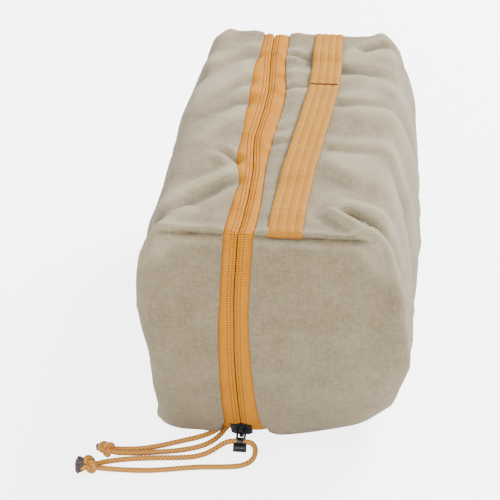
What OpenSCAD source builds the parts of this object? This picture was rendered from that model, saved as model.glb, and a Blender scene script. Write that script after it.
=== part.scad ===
// Soft-sided shaving kit bag of waxed canvas. A coil zip runs down both end faces and along
// the top, off to the left, and turns under the base. The part to its left folds outwards as a
// lid. The bag stands on its base: X is across, Y is the long way, Z is up, in millimetres.

/* [Bag] */
// Length along Y at the fullest part
bag_length = 265; // [200:1:320]
// Width along X at the fullest part
bag_width = 150; // [110:1:180]
// Height of the top panel above the base
bag_height = 150; // [110:1:180]
// Thickness of the waxed canvas
canvas = 1.4; // [0.8:0.1:2.4]
// Thickness of the lining
lining = 0.6; // [0.3:0.1:1.2]

/* [Zip] */
// Distance of the zip's middle line from the bag's middle plane
zip_x = -17.7; // [-30:0.1:0]
// Width of tape that shows on each side of the middle line
tape_shows = 9.3; // [6:0.1:14]
// Full width of one tape
tape_width = 15.5; // [12:0.5:20]
// Thickness of the tape
tape = 0.7; // [0.4:0.1:1.2]
// Depth of the row of coil teeth
coil = 1.8; // [1:0.1:3]
// Width of one row of coil teeth
coil_width = 3.1; // [2:0.1:4]
// Gap that the slider's neck passes through
zip_gap = 1.2; // [0.8:0.1:2]

/* [Handle] */
// Width of the webbing
webbing_width = 19; // [15:1:30]
// Thickness of the webbing
webbing = 1.6; // [1:0.1:2.5]
// Distance of the webbing's middle line from the bag's middle plane
webbing_x = 8.6; // [0:0.1:20]
// Angle that the webbing strays from the zip's line
webbing_skew = 1.6; // [0:0.1:4]
// Where the bar tack crosses the webbing, along Y
tack_y = 48; // [20:1:90]

/* [Pull cords] */
// Diameter of the cord
cord_d = 3.2; // [2:0.1:4]

/* [Hidden] */
$fn = 64;
arc_sides = 360;
half_l = bag_length / 2;
half_w = bag_width / 2;
clear = 0.3;
eps = 0.01;
far = 400;

// The end faces: a lower arc that the slider follows, and a flatter one above it.
belly_z = 75;
belly_r = 150;
upper_r = 320;
belly_y = half_l - belly_r;
// Round edges of the base, seen from the side, and of the base and top, seen from the end
low_r = 30;
side_z = 70;
side_r = 178;
side_low_r = 14;
side_top_r = 12;
top_r = 3;
// Round upright corners, tighter towards the top seams
corner_low_r = 26;
corner_top_r = 10;
soft_z = 92;
// The zip's own path turns under at a tighter corner and climbs from there to its hidden end.
turn_r = 6;
turn_z = 11.5;
climb = 14;
track_end = 76;
lobe_r = 14;
// The webbing's ends, and how far each sewn-down stretch reaches from its middle
webbing_end = half_l - 10.6;
sewn = 3;
// The lid starts above this height, and its tape above the slider's parking place.
lid_z = 8;
lid_gap = 0.5;
tail_z = 36;

tape_d = canvas + 0.1;
coil_d = tape_d + tape;
// How much deeper the tape runs where the canvas covers it
tuck = 0.3;
lining_d = coil_d + tuck + 0.1;
left_edge = zip_x - tape_shows - clear;

// Slider, measured outwards from the bag's outer surface and along the track
slider_angle = 26.2;
slider_length = 13;
slider_width = 12.6;
plate = 1.4;
bridge_rise = 3;
bridge_wall = 1;
bar_r = 0.7;
bar_out = plate_top() + 1.05;
bar_along = -1;
ring_reach = 5;
ring_r = 2.4;
ring_hole_r = 1.7;
ring_width = 3.6;
barrel_reach = 9;
barrel_r = 2.6;
barrel_length = 7.6;
front_pull_angle = 94;
lower_pull_angle = 15.5;
lower_slider_y = -95;

function plate_bottom() = clear - tape_d;
function plate_top() = plate_bottom() + plate;
function inner_plate_top() = -(coil_d + coil + clear);
// Offset along one axis of a small circle that lies inside a big one and touches it
function nest(big, small, step) = sqrt(pow(big - small, 2) - pow(step, 2));
function turn_y() = -(nest(belly_r, turn_r, belly_z - turn_z) + belly_y);
// Height of the climbing track's outer line at a place along Y
function climb_z(y) = turn_z - turn_r * cos(climb) + (y - turn_y() - turn_r * sin(climb)) * tan(climb);

// Half the bag's extent at a height: two big arcs that meet at mid_z, eased into the base and
// the top by small ones. Everything lies inset under the surface.
function half_at(z, inset, half, big, small, mid_z) =
  let (small_z = z < mid_z ? small : bag_height - small,
       step = small_z - mid_z,
       touch_z = mid_z + (big - inset) * step / (big - small),
       past = z < mid_z ? z < touch_z : z > touch_z)
  past ? half - big + nest(big, small, step)
         + sqrt(max(0, pow(small - inset, 2) - pow(z - small_z, 2)))
       : half - big + sqrt(pow(big - inset, 2) - pow(z - mid_z, 2));
function half_width_at(z, inset) =
  half_at(z, inset, half_w, side_r, z < side_z ? side_low_r : side_top_r, side_z);
function half_length_at(z, inset) =
  half_at(z, inset, half_l, z < belly_z ? belly_r : upper_r, z < belly_z ? low_r : top_r, belly_z);
function corner_at(z) =
  corner_low_r + (corner_top_r - corner_low_r) * (z - soft_z) / (bag_height - soft_z);
// Heights that the bag's outlines are taken at
function levels(inset) = concat(
  [for (a = [0:11.25:90]) low_r - (low_r - inset) * cos(a)],
  [45, 60, belly_z, 92, 110, 126],
  [for (a = [0:18:90]) bag_height - side_top_r + (side_top_r - inset) * sin(a) - eps]);

// Route of each cord strand, from the pull's ring to the knot
front_long_route = [
  [-13.2, -123.5, 4.9], [-10.6, -124.2, 4.4], [-8.8, -126.6, 3.5], [-8.4, -130, 2.6],
  [-9, -133.8, 2], [-11.2, -137.4, 1.7], [-14.8, -140, 1.6], [-19.6, -141.6, 1.6],
  [-28, -142.8, 1.6], [-38, -143.8, 1.6], [-48, -145.6, 1.6], [-58, -147.8, 1.6],
  [-69, -149.6, 1.6], [-80, -150.6, 1.9], [-90, -151.4, 2.6], [-97, -152.2, 3.8]];
front_short_route = [
  [-22.6, -123.5, 4.9], [-25.9, -124.2, 4.4], [-29.3, -126.4, 3.6], [-33.2, -129.6, 2.6],
  [-37.8, -132.8, 1.9], [-44, -135.4, 1.6], [-51, -136.8, 1.6], [-57, -137.5, 1.6],
  [-64, -138.2, 1.6], [-72, -139.4, 1.6], [-80, -140.8, 1.7], [-86, -142.6, 2],
  [-91.5, -145, 2.7], [-94.8, -147, 3.3], [-97.4, -149, 4]];
lower_back_route = [
  [-22.6, -99.4, 4.6], [-25.8, -100.4, 3.4], [-29, -103.8, 2.2], [-32, -108.2, 1.7],
  [-35.6, -112.4, 1.6], [-40.6, -116.2, 1.6], [-46, -119.2, 1.6], [-51, -121.4, 1.6],
  [-56, -123.7, 1.6], [-61, -126, 1.6], [-67, -128.5, 1.6], [-73, -130.5, 1.6],
  [-79, -132.2, 1.9], [-84.5, -133.7, 2.6], [-89.5, -135, 3.6]];
lower_front_route = [
  [-22.6, -102.8, 4.6], [-25.4, -104.6, 3.4], [-28.2, -109, 2.2], [-30.6, -114, 1.7],
  [-33.8, -119.4, 1.6], [-38.2, -123.9, 1.6], [-43, -126.9, 1.6], [-48, -129, 1.6],
  [-54, -130.9, 1.6], [-60, -132.3, 1.6], [-66, -133.4, 1.6], [-72, -134.5, 1.6],
  [-78, -135.7, 1.9], [-83.5, -136.8, 2.6], [-89, -138, 3.6]];

canvas_colour = "#B5AA92";
lining_colour = "#8C8471";
tape_colour = "#DDA35A";
webbing_colour = "#DDB173";
cord_colour = "#DCAE66";
metal_colour = "#3A3D42";

// --- Outlines -------------------------------------------------------------------------------

module along_x(x0, x1) {
  translate([x0, 0, 0]) rotate([90, 0, 90]) linear_extrude(x1 - x0) children();
}

module along_y(y0, y1) {
  translate([0, y1, 0]) rotate([90, 0, 0]) linear_extrude(y1 - y0) children();
}

// What a rounded edge takes off: the wedge from a small circle's middle to the big arc that it
// touches and to the straight edge below, less the circle itself.
module edge_waste(big, big_mid, small, small_z, inset) {
  step = small_z - big_mid[1];
  reach = nest(big, small, step);
  mid_y = big_mid[0] + reach;
  way = [reach, step] / (big - small);
  level = -far;
  difference() {
    polygon([[mid_y, small_z], [mid_y, small_z + level],
             [mid_y + far, small_z + level], [mid_y + far * way[0], small_z + far * way[1]]]);
    translate([mid_y, small_z]) circle(small - inset);
  }
}

// The bag seen from the side, without the rounding of its lower edges
module side_band(inset) {
  intersection() {
    translate([-far, inset]) square([2 * far, bag_height - 2 * inset]);
    union() {
      intersection() {
        translate([-far, -far]) square([2 * far, far + belly_z]);
        translate([-belly_y, belly_z]) circle(belly_r - inset, $fn = arc_sides);
        translate([belly_y, belly_z]) circle(belly_r - inset, $fn = arc_sides);
      }
      intersection() {
        translate([-far, belly_z]) square([2 * far, far]);
        translate([upper_r - half_l, belly_z]) circle(upper_r - inset, $fn = arc_sides);
        translate([half_l - upper_r, belly_z]) circle(upper_r - inset, $fn = arc_sides);
      }
    }
  }
}

// Everything on the outer side of the zip's path, at one end
module track_waste(inset) {
  line_y = -turn_y() - (turn_r - inset) * sin(climb);
  line_z = turn_z - (turn_r - inset) * cos(climb);
  edge_waste(belly_r, [belly_y, belly_z], turn_r, turn_z, inset);
  difference() {
    polygon([[track_end - inset, -far], [-turn_y(), -far], [-turn_y(), turn_z],
             [line_y, line_z],
             [track_end - inset, line_z + (line_y - track_end + inset) * tan(climb)]]);
    translate([-turn_y(), turn_z]) circle(turn_r - inset);
  }
}

// The bag seen from the side in the plane of the zip
module track_outline(inset) {
  difference() {
    side_band(inset);
    for (turn = [0, 1]) mirror([turn, 0]) track_waste(inset);
  }
}

// --- Solids that the canvas and lining are cut from ------------------------------------------

// The hollow under the bag where the zip turns under, with the lobes' soft inner edges
module zip_hollow(inset) {
  for (turn = [0, 1]) mirror([0, turn, 0]) {
    along_x(zip_x - tape_shows - inset, zip_x + tape_shows + inset) mirror([1, 0])
      track_waste(inset);
    for (side = [-1, 1]) translate([zip_x + side * (tape_shows + lobe_r), 0, lobe_r])
      along_y(-half_l, -track_end + inset) difference() {
        translate([side > 0 ? -lobe_r - eps : 0, -lobe_r - 1]) square([lobe_r + eps, lobe_r + 1]);
        circle(lobe_r - inset);
      }
  }
}

// The full bag, as the shape that stretches round its outlines at a stack of levels
module body(inset) {
  difference() {
    hull() for (z = levels(inset)) {
      corner_r = (z < soft_z ? corner_low_r : corner_at(z)) - inset;
      x = half_width_at(z, inset) - corner_r;
      y = half_length_at(z, inset) - corner_r;
      for (corner = [[x, y], [-x, y], [-x, -y], [x, -y]])
        translate([corner[0], corner[1], z]) cylinder(eps, corner_r, corner_r, $fn = 32);
    }
    zip_hollow(inset);
  }
}

// A fabric skin that lies between two depths under the bag's outer surface
module skin(outer, inner) {
  difference() {
    body(outer);
    body(inner);
  }
}

// The slot in the fabric that the zip tape shows through
module tape_slot() {
  for (side = [-1, 1])
    translate([zip_x - tape_shows, side > 0 ? track_end : -far - track_end, -1])
      cube([2 * tape_shows, far, far]);
  translate([zip_x - tape_shows, -far, 15]) cube([2 * tape_shows, 2 * far, far]);
}

module right_part() {
  translate([-far, -far, -1]) cube([2 * far, 2 * far, lid_z + 1]);
  translate([zip_x - tape_shows, -far, -1]) cube([far, 2 * far, far]);
}

module left_part(from_z = lid_z + lid_gap) {
  translate([left_edge - far, -far, from_z]) cube([far, 2 * far, far]);
}

// --- Strips along the zip's path -------------------------------------------------------------

module track_strip(outer, inner, x0, x1) {
  difference() {
    along_x(x0, x1) difference() {
      track_outline(outer);
      track_outline(inner);
    }
    translate([x0 - 1, -track_end, -1]) cube([x1 - x0 + 2, 2 * track_end, belly_z]);
  }
}

module above(z) {
  intersection() {
    children();
    translate([-far, -far, z]) cube(2 * far);
  }
}

module below(z) {
  intersection() {
    children();
    translate([-far, -far, z - 2 * far]) cube(2 * far);
  }
}

// --- Sub-parts of the bag --------------------------------------------------------------------

module main_canvas() {
  color(canvas_colour) difference() {
    intersection() {
      skin(0, canvas);
      right_part();
    }
    tape_slot();
  }
}

module main_lining() {
  color(lining_colour) difference() {
    intersection() {
      skin(lining_d, lining_d + lining);
      right_part();
    }
    tape_slot();
  }
}

module zip_tape_main() {
  color(tape_colour)
    track_strip(tape_d, coil_d, zip_x + zip_gap / 2, zip_x + tape_shows);
  color(tape_colour) above(20)
    track_strip(tape_d + tuck, coil_d + tuck, zip_x + tape_shows - 1, zip_x + tape_width);
}

module zip_coil_main() {
  color(tape_colour)
    track_strip(coil_d, coil_d + coil, zip_x + zip_gap / 2, zip_x + zip_gap / 2 + coil_width);
}

module zip_tape_left_tails() {
  color(tape_colour)
    below(tail_z) track_strip(tape_d, coil_d, zip_x - tape_shows, zip_x - zip_gap / 2);
}

module zip_coil_left_tails() {
  color(tape_colour) below(tail_z)
    track_strip(coil_d, coil_d + coil, zip_x - zip_gap / 2 - coil_width, zip_x - zip_gap / 2);
}

// Canvas patch that closes the zip where it ends under the base
module zip_end_tab(side) {
  top = track_end + 9;
  color(canvas_colour) intersection() {
    translate([zip_x - tape_shows, side > 0 ? track_end : -top, 0])
      cube([2 * tape_shows, top - track_end, belly_z]);
    along_x(zip_x - tape_shows, zip_x + tape_shows) difference() {
      track_outline(0.1);
      track_outline(canvas);
    }
  }
}

// A span of webbing, seen from the side, that stands up in a low arc from the top panel
module webbing_arc(y0, y1, rise) {
  reach = (y1 - y0) / 2;
  arc_r = (pow(reach, 2) + pow(rise, 2)) / (2 * rise);
  intersection() {
    translate([y0, bag_height]) square([y1 - y0, rise + webbing]);
    translate([(y0 + y1) / 2, bag_height + rise - arc_r]) difference() {
      circle(arc_r + webbing, $fn = 4 * arc_sides);
      circle(arc_r, $fn = 4 * arc_sides);
    }
  }
}

// Places what is drawn straight along the webbing
module on_webbing() {
  translate([webbing_x, -webbing_end, 0]) rotate([0, 0, -webbing_skew])
    translate([0, webbing_end, 0]) children();
}

module handle_webbing() {
  color(webbing_colour) on_webbing() along_x(-webbing_width / 2, webbing_width / 2) union() {
    webbing_arc(sewn - webbing_end, tack_y - sewn, 3);
    webbing_arc(tack_y + sewn, webbing_end - sewn, 1);
    for (y = [-webbing_end + sewn, tack_y, webbing_end - sewn])
      translate([y - sewn - 0.5, bag_height]) square([2 * sewn + 1, webbing]);
  }
}

module handle_bar_tack() {
  color(tape_colour) on_webbing() translate([-8, tack_y - 1.3, bag_height + webbing])
    cube([16, 2.6, 0.7]);
}

// --- Sub-parts of the lid --------------------------------------------------------------------

module lid_canvas() {
  color(canvas_colour) intersection() {
    skin(0, canvas);
    left_part();
  }
}

module lid_lining() {
  color(lining_colour) intersection() {
    skin(lining_d, lining_d + lining);
    left_part();
  }
}

module zip_tape_lid() {
  color(tape_colour) above(tail_z + clear) {
    track_strip(tape_d, coil_d, zip_x - tape_shows, zip_x - zip_gap / 2);
    track_strip(tape_d + tuck, coil_d + tuck, zip_x - tape_width, zip_x - tape_shows + 1);
  }
}

module zip_coil_lid() {
  color(tape_colour) above(tail_z + clear)
    track_strip(coil_d, coil_d + coil, zip_x - zip_gap / 2 - coil_width, zip_x - zip_gap / 2);
}

// --- Sliders and pulls -----------------------------------------------------------------------
// Both are drawn lying on a track that runs along +Y, with the bag below: +Z is outwards.

module slider_plate(z0, thick, y0, y1) {
  translate([0, 0, z0]) linear_extrude(thick) intersection() {
    translate([-slider_width / 2, y0]) square([slider_width, y1 - y0]);
    translate([0, slider_length * 0.1]) circle(slider_length * 0.66);
  }
}

module slider_at_origin(inner_from) {
  end_y = slider_length / 2;
  leg_y = 4.2;
  slider_plate(plate_bottom(), plate, -end_y, end_y);
  slider_plate(inner_plate_top() - plate, plate, inner_from, end_y);
  translate([-0.35, end_y - 4, inner_plate_top() - eps])
    cube([0.7, 3, plate_bottom() - inner_plate_top() + 2 * eps]);
  // The bridge that holds the pull's bar
  along_x(-1.2, 1.2) difference() {
    translate([-leg_y, plate_top() - eps]) square([2 * leg_y, bridge_rise]);
    translate([bridge_wall - leg_y, plate_top() - 2 * eps])
      square([2 * (leg_y - bridge_wall), bridge_rise - bridge_wall]);
  }
}

// The pull, from its bar along -Y: a frame round the bridge, a ring for the cord, a barrel end
module pull_at_origin() {
  rail_x = 1.7;
  frame_y = -3.9;
  along_x(-rail_x - 1.2, rail_x + 1.2) circle(bar_r);
  for (side = [-1, 1]) translate([side * (rail_x + 0.6) - 0.6, frame_y - 1.1, -bar_r])
    cube([1.2, 1.1 - frame_y, 2 * bar_r]);
  translate([-rail_x - 1.2, frame_y - 1.1, -bar_r]) cube([2 * rail_x + 2.4, 1.1, 2 * bar_r]);
  along_x(-ring_width / 2, ring_width / 2) translate([-ring_reach - 1.2, 0]) difference() {
    circle(ring_r);
    circle(ring_hole_r);
  }
  along_x(-barrel_length / 2, barrel_length / 2) translate([-barrel_reach - 1.2, 0]) difference() {
    circle(barrel_r);
    translate([barrel_reach - ring_reach, 0]) circle(ring_r - 0.2);
  }
}

// Puts what is drawn at the origin on the front end face, where the slider is parked
module on_front_face() {
  translate([zip_x, -belly_y, belly_z]) rotate([slider_angle, 0, 0])
    translate([0, -belly_r, 0]) rotate([90, 0, 0]) children();
}

// Puts what is drawn at the origin on the climbing track under the base, facing down
module on_under_track() {
  translate([zip_x, lower_slider_y, climb_z(lower_slider_y)]) rotate([climb, 0, 0])
    rotate([0, 180, 0]) children();
}

module front_slider_body() {
  color(metal_colour) on_front_face() slider_at_origin(-0.5);
}

module lower_slider_body() {
  color(metal_colour) on_under_track() slider_at_origin(-slider_length / 2);
}

module front_pull() {
  color(metal_colour) on_front_face() translate([0, bar_along, bar_out])
    rotate([-front_pull_angle, 0, 0]) pull_at_origin();
}

module lower_pull() {
  color(metal_colour) on_under_track() translate([0, bar_along, bar_out])
    rotate([-lower_pull_angle, 0, 0]) pull_at_origin();
}

// --- Cords -----------------------------------------------------------------------------------

function unit(v) = v / norm(v);
// Direction of a route at one of its points
function heading(route, i) =
  unit(route[min(i + 1, len(route) - 1)] - route[max(i - 1, 0)]);
// One ring of eight points round the route, with its first point upwards
function cord_ring(route, i) =
  let (way = heading(route, i), side = unit(cross(way, [0, 0, 1])), up = cross(side, way))
  [for (k = [0:7]) route[i] + cord_d / 2 * (cos(45 * k) * up + sin(45 * k) * side)];

module cord(route) {
  last = len(route) - 1;
  rings = [for (i = [0:last]) each cord_ring(route, i)];
  walls = [for (i = [0:last - 1], k = [0:7])
    [8 * i + k, 8 * i + (k + 1) % 8, 8 * (i + 1) + (k + 1) % 8, 8 * (i + 1) + k]];
  first_cap = [for (k = [0:7]) 7 - k];
  last_cap = [for (k = [0:7]) 8 * last + k];
  color(cord_colour) polyhedron(rings, concat(walls, [first_cap, last_cap]), 4);
}

module front_cord_long() { cord(front_long_route); }
module front_cord_short() { cord(front_short_route); }
module lower_cord_back() { cord(lower_back_route); }
module lower_cord_front() { cord(lower_front_route); }

module knot(place, radius) {
  color(cord_colour) translate(place) sphere(radius);
}

// Stub of cord ends melted into one dark bead
module melted_end(place, radius, length) {
  color("#4A4048") translate(place) rotate([0, -90, 0]) cylinder(length, radius, radius * 0.8);
}

module front_cord_knot() { knot([-102, -151.8, 5.4], 5.4); }
module front_cord_melted_end() { melted_end([-106.9, -151.8, 5.4], 4.6, 2.6); }
module lower_cord_knot() { knot([-94.6, -137, 5], 5); }
module lower_cord_melted_end() { melted_end([-99.1, -136, 5], 2, 2.8); }

main_canvas();
main_lining();
zip_tape_main();
zip_coil_main();
zip_tape_left_tails();
zip_coil_left_tails();
zip_end_tab(-1);  // zip_end_tab_front
zip_end_tab(1);  // zip_end_tab_back
handle_webbing();
handle_bar_tack();
lower_slider_body();
lid_canvas();
lid_lining();
zip_tape_lid();
zip_coil_lid();
front_slider_body();
front_pull();
front_cord_long();
front_cord_short();
front_cord_knot();
front_cord_melted_end();
lower_pull();
lower_cord_back();
lower_cord_front();
lower_cord_knot();
lower_cord_melted_end();
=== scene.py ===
# %% [markdown]
# # A soft shaving kit bag of waxed canvas
#
# The real bag is two bowls of canvas joined by a coil zip that runs down both ends and over
# the top. This lesson builds it from surfaces worked out with numpy: first the camera and the
# cords, then the canvas, the zip, the handle and the metal, and the finishes last.
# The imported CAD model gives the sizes, the bodies and the places that everything keeps to.

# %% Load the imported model
import math
import bmesh
import bpy
import numpy as np
from mathutils import Matrix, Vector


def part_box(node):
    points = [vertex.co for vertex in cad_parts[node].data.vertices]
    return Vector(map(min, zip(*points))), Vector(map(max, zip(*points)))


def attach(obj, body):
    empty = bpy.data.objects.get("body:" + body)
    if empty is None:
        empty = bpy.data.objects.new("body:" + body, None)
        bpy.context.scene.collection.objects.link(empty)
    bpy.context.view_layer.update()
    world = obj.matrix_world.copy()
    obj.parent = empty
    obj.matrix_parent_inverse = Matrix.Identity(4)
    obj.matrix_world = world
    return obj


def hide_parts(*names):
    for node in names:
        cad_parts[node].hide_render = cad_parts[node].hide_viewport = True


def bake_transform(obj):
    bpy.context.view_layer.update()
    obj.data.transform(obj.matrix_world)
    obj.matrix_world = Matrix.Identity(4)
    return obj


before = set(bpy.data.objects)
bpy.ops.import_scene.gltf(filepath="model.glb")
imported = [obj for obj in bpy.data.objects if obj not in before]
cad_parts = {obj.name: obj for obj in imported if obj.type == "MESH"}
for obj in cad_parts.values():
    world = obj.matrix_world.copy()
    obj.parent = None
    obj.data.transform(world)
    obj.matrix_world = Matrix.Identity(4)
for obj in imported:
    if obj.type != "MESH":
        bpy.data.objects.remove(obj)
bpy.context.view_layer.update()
MM = 0.001

# %% [markdown]
# ## Camera
# The bag is seen from above its front end, slightly to the right of its long axis, with a long
# lens, so that the far end looks almost as wide as the near one. Three turns set the camera:
# the heading, the downward tilt and a slight roll. They are easier to read than a matrix.

# %% Place the camera
camera_place = (71.4, -786.2, 580.1)
heading, tilt, roll = -7.0, 33.43, -1.08
camera = bpy.data.objects.new("camera", bpy.data.cameras.new("camera"))
bpy.context.scene.collection.objects.link(camera)
bpy.context.scene.camera = camera
camera.data.lens = 108
turn = (Matrix.Rotation(math.radians(-heading), 4, "Z")
        @ Matrix.Rotation(math.radians(90 - tilt), 4, "X")
        @ Matrix.Rotation(math.radians(roll), 4, "Z"))
camera.matrix_world = Matrix.Translation([MM * x for x in camera_place]) @ turn
print("camera at", camera_place, "mm with a", camera.data.lens, "mm lens")

# %% [markdown]
# ## Meshes from grids
# Nearly every piece here is a surface with two parameters, so one function turns a grid of
# points into a mesh: rows by columns of points in millimetres, joined by four-sided faces.
# Its UV map is in millimetres too, so a weave keeps its real thread spacing on any piece.

# %% Turn a grid of points into a mesh
def add_piece(name, points, faces, uv=None, smooth=True):
    """A mesh object from points in millimetres. uv holds one pair for each corner of each face."""
    mesh = bpy.data.meshes.new(name)
    mesh.from_pydata((points * MM).tolist(), [], faces)
    mesh.polygons.foreach_set("use_smooth", np.full(len(mesh.polygons), smooth))
    if uv is not None:
        mesh.uv_layers.new(name="UVMap").data.foreach_set("uv", np.asarray(uv, float).ravel())
    mesh.validate()
    mesh.update()
    piece = bpy.data.objects.new(name, mesh)
    bpy.context.scene.collection.objects.link(piece)
    return piece


def grid_faces(rows, columns, around):
    """Corner numbers of the quads of a rows by columns grid. around joins the last column to
    the first. Also gives the column of each corner before that wrap, for the UV map."""
    row, column = np.meshgrid(np.arange(rows - 1), np.arange(columns - (not around)), indexing="ij")
    row, column = row.ravel(), column.ravel()
    corner_row = np.stack([row, row, row + 1, row + 1], 1)
    corner_column = np.stack([column, column + 1, column + 1, column], 1)
    return corner_row * columns + corner_column % columns, corner_row, corner_column


def unrolled(grid, axis, around=False):
    """Distance in millimetres along a grid's rows or columns, averaged over the other way."""
    if around:
        grid = np.concatenate([grid, grid[:, :1]], 1)
    steps = np.linalg.norm(np.diff(grid, axis=axis), axis=2).mean(1 - axis)
    return np.concatenate([[0], np.cumsum(steps)])


def grid_piece(name, grid, around=False, caps=False, flip=False):
    """A mesh over a grid of points. caps close the first and last row with one face each, and
    flip turns the faces over."""
    rows, columns = grid.shape[:2]
    faces, corner_row, corner_column = grid_faces(rows, columns, around)
    across, along = unrolled(grid, 1, around), unrolled(grid, 0)
    uv = np.stack([across[corner_column], along[corner_row]], 2)
    if flip:
        faces, uv = faces[:, ::-1], uv[:, ::-1]
    faces, uv = faces.tolist(), uv.reshape(-1, 2)
    if caps:
        first, last = list(range(columns)), list(range((rows - 1) * columns, rows * columns))
        faces += [first, last[::-1]] if flip else [first[::-1], last]
        uv = np.concatenate([uv, np.zeros((2 * columns, 2))])
    return add_piece(name, grid.reshape(-1, 3), faces, uv)


def finish_piece(piece, material, slot, body, *nodes):
    """Gives a piece its finish, says which CAD nodes it stands for, and lets it ride on its body.
    slot is not used. A body of None is the fabric that bends from the bag to the lid."""
    piece.data.materials.append(material)
    if nodes:
        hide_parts(*nodes)
    if body:
        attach(piece, body)
    else:
        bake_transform(piece)
    print(piece.name, len(piece.data.polygons), "faces")
    return piece


# %% [markdown]
# ## Finishes
# Each finish is a small node tree. One function adds a node, sets its sockets and links it.
# Colours are written as the hex values that a paint chart gives, and turned to linear light.

# %% Helpers for the finishes
def colour(hex_text):
    """sRGB hex to linear light with the standard two-part curve."""
    part = np.array([int(hex_text[i:i + 2], 16) for i in (1, 3, 5)]) / 255
    linear = np.where(part <= 0.04045, part / 12.92, ((part + 0.055) / 1.055) ** 2.4)
    return (*linear.tolist(), 1.0)


def node(tree, kind, inputs=None, **settings):
    """Adds a node. inputs maps a socket's name or number to a value or to the output that
    feeds it, and settings are the node's own properties."""
    made = tree.nodes.new("ShaderNode" + kind)
    for name, value in settings.items():
        setattr(made, name, value)
    for name, value in (inputs or {}).items():
        if isinstance(value, bpy.types.NodeSocket):
            tree.links.new(value, made.inputs[name])
        else:
            made.inputs[name].default_value = value
    return made


def new_finish(name, **sockets):
    """A material with a Principled shader, whose even values are set on its own sockets."""
    material = bpy.data.materials.new(name)
    material.use_nodes = True
    shader = material.node_tree.nodes["Principled BSDF"]
    for socket, value in sockets.items():
        shader.inputs[socket.replace("_", " ")].default_value = value
    return material, material.node_tree, shader


def noise(tree, place, scale, detail, **more):
    """Cloudy noise; scale is in waves per metre."""
    sockets = {"Vector": place, "Scale": scale, "Detail": detail, **more}
    return node(tree, "TexNoise", sockets).outputs["Fac"]


def two_tone(tree, factor, *stops):
    """A colour that runs between two stops, each a place from 0 to 1 and a hex colour."""
    ramp = node(tree, "ValToRGB", {"Fac": factor})
    for stop, (place, tone) in zip(ramp.color_ramp.elements, stops):
        stop.position, stop.color = place, colour(tone)
    return ramp.outputs["Color"]


def remap(tree, value, first, last, low, high):
    """Stretches the span first to last onto low to high, and holds it there."""
    return node(tree, "MapRange", {"Value": value, "From Min": first, "From Max": last,
                                   "To Min": low, "To Max": high}).outputs["Result"]


def mixed(tree, share, first, second):
    """(1 - share) * first + share * second."""
    return node(tree, "MixRGB", {"Fac": share, "Color1": first, "Color2": second}).outputs["Color"]


def relief(tree, shader, strength, depth, height):
    """Tilts the surface's light by a height pattern of a depth in millimetres."""
    bump = node(tree, "Bump", {"Strength": strength, "Distance": depth * MM, "Height": height})
    tree.links.new(bump.outputs["Normal"], shader.inputs["Normal"])


BAND = 2 * math.pi / 20  # a wave texture of scale 1 repeats after this many units


def wave(tree, vector, spacing, direction, inputs=None):
    """Bands that repeat every spacing units of a coordinate."""
    sockets = {"Vector": vector, "Scale": BAND / spacing, **(inputs or {})}
    return node(tree, "TexWave", sockets, bands_direction=direction).outputs["Fac"]


# %% [markdown]
# ### Waxed canvas
# Heavy cotton canvas, woven plain and rubbed with wax. The wax gives a dry, matt face with
# cloudy lighter patches where it has been handled. Folds get a painted highlight along their
# ridges, and painted shade in their valleys and in the seam grooves. Threads are about 0.6 mm
# apart. They are drawn 1.2 mm apart here, so that they still show in the whole view.

# %% Waxed cotton canvas, woven
def waxed_canvas():
    """A plain weave over cloudy wax, with painted highlights on fold ridges and painted shade in
    valleys.
    """
    material, tree, shader = new_finish("waxed cotton canvas, woven", Roughness=0.86, IOR=1.47,
                                        Sheen_Weight=0.12, Sheen_Roughness=0.6)
    uv = node(tree, "UVMap", uv_map="UVMap").outputs["UV"]
    place = node(tree, "TexCoord").outputs["Object"]
    wobble = {"Distortion": 0.5, "Detail": 1.0, "Detail Scale": 0.35}
    warp = wave(tree, uv, 1.2, "X", wobble)
    weft = wave(tree, uv, 1.2, "Y", wobble)
    weave = node(tree, "Math", {0: warp, 1: weft}, operation="MAXIMUM").outputs[0]
    cloud = noise(tree, place, 55.0, 5.0, Roughness=0.62)
    slub = noise(tree, place, 380.0, 3.0, Roughness=0.7)
    patch = two_tone(tree, cloud, (0.36, "#7F7054"), (0.68, "#8F8062"))
    speck = remap(tree, slub, 0.42, 0.72, 0.0, 0.28)
    flecked = mixed(tree, speck, patch, colour("#BAAC8C"))
    fold = node(tree, "Attribute", attribute_name="fold").outputs["Fac"]
    # Painted highlight: where the fold height is above 0.1, on the fold ridges, the colour is
    # lifted towards a pale tone.
    with_ridge_highlight = mixed(tree, remap(tree, fold, 0.1, 1.6, 0.0, 0.4), flecked, colour("#C2B596"))
    # Painted shade: where the fold height is below -0.5, in fold valleys and seam grooves, the
    # colour is darkened towards dark brown.
    valley_shade_share = remap(tree, fold, -0.5, -2.4, 0.0, 0.6)
    with_valley_shade = mixed(tree, valley_shade_share, with_ridge_highlight, colour("#4E4230"))
    shade = remap(tree, weave, 0.5, 1.0, 0.8, 1.07)
    threads = node(tree, "HueSaturation", {"Color": with_valley_shade, "Value": shade}).outputs["Color"]
    tree.links.new(threads, shader.inputs["Base Color"])
    height = node(tree, "Math", {0: weave, 1: slub}, operation="ADD").outputs[0]
    relief(tree, shader, 0.45, 0.3, height)
    return material


CANVAS = waxed_canvas()

# %% [markdown]
# ### Zip tape and webbing
# Both are woven polyester. The tape has fine ribs across it and a plain face. The webbing is
# coarser, with a herringbone of picks between its long ribs, which are real shape further on.

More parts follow.
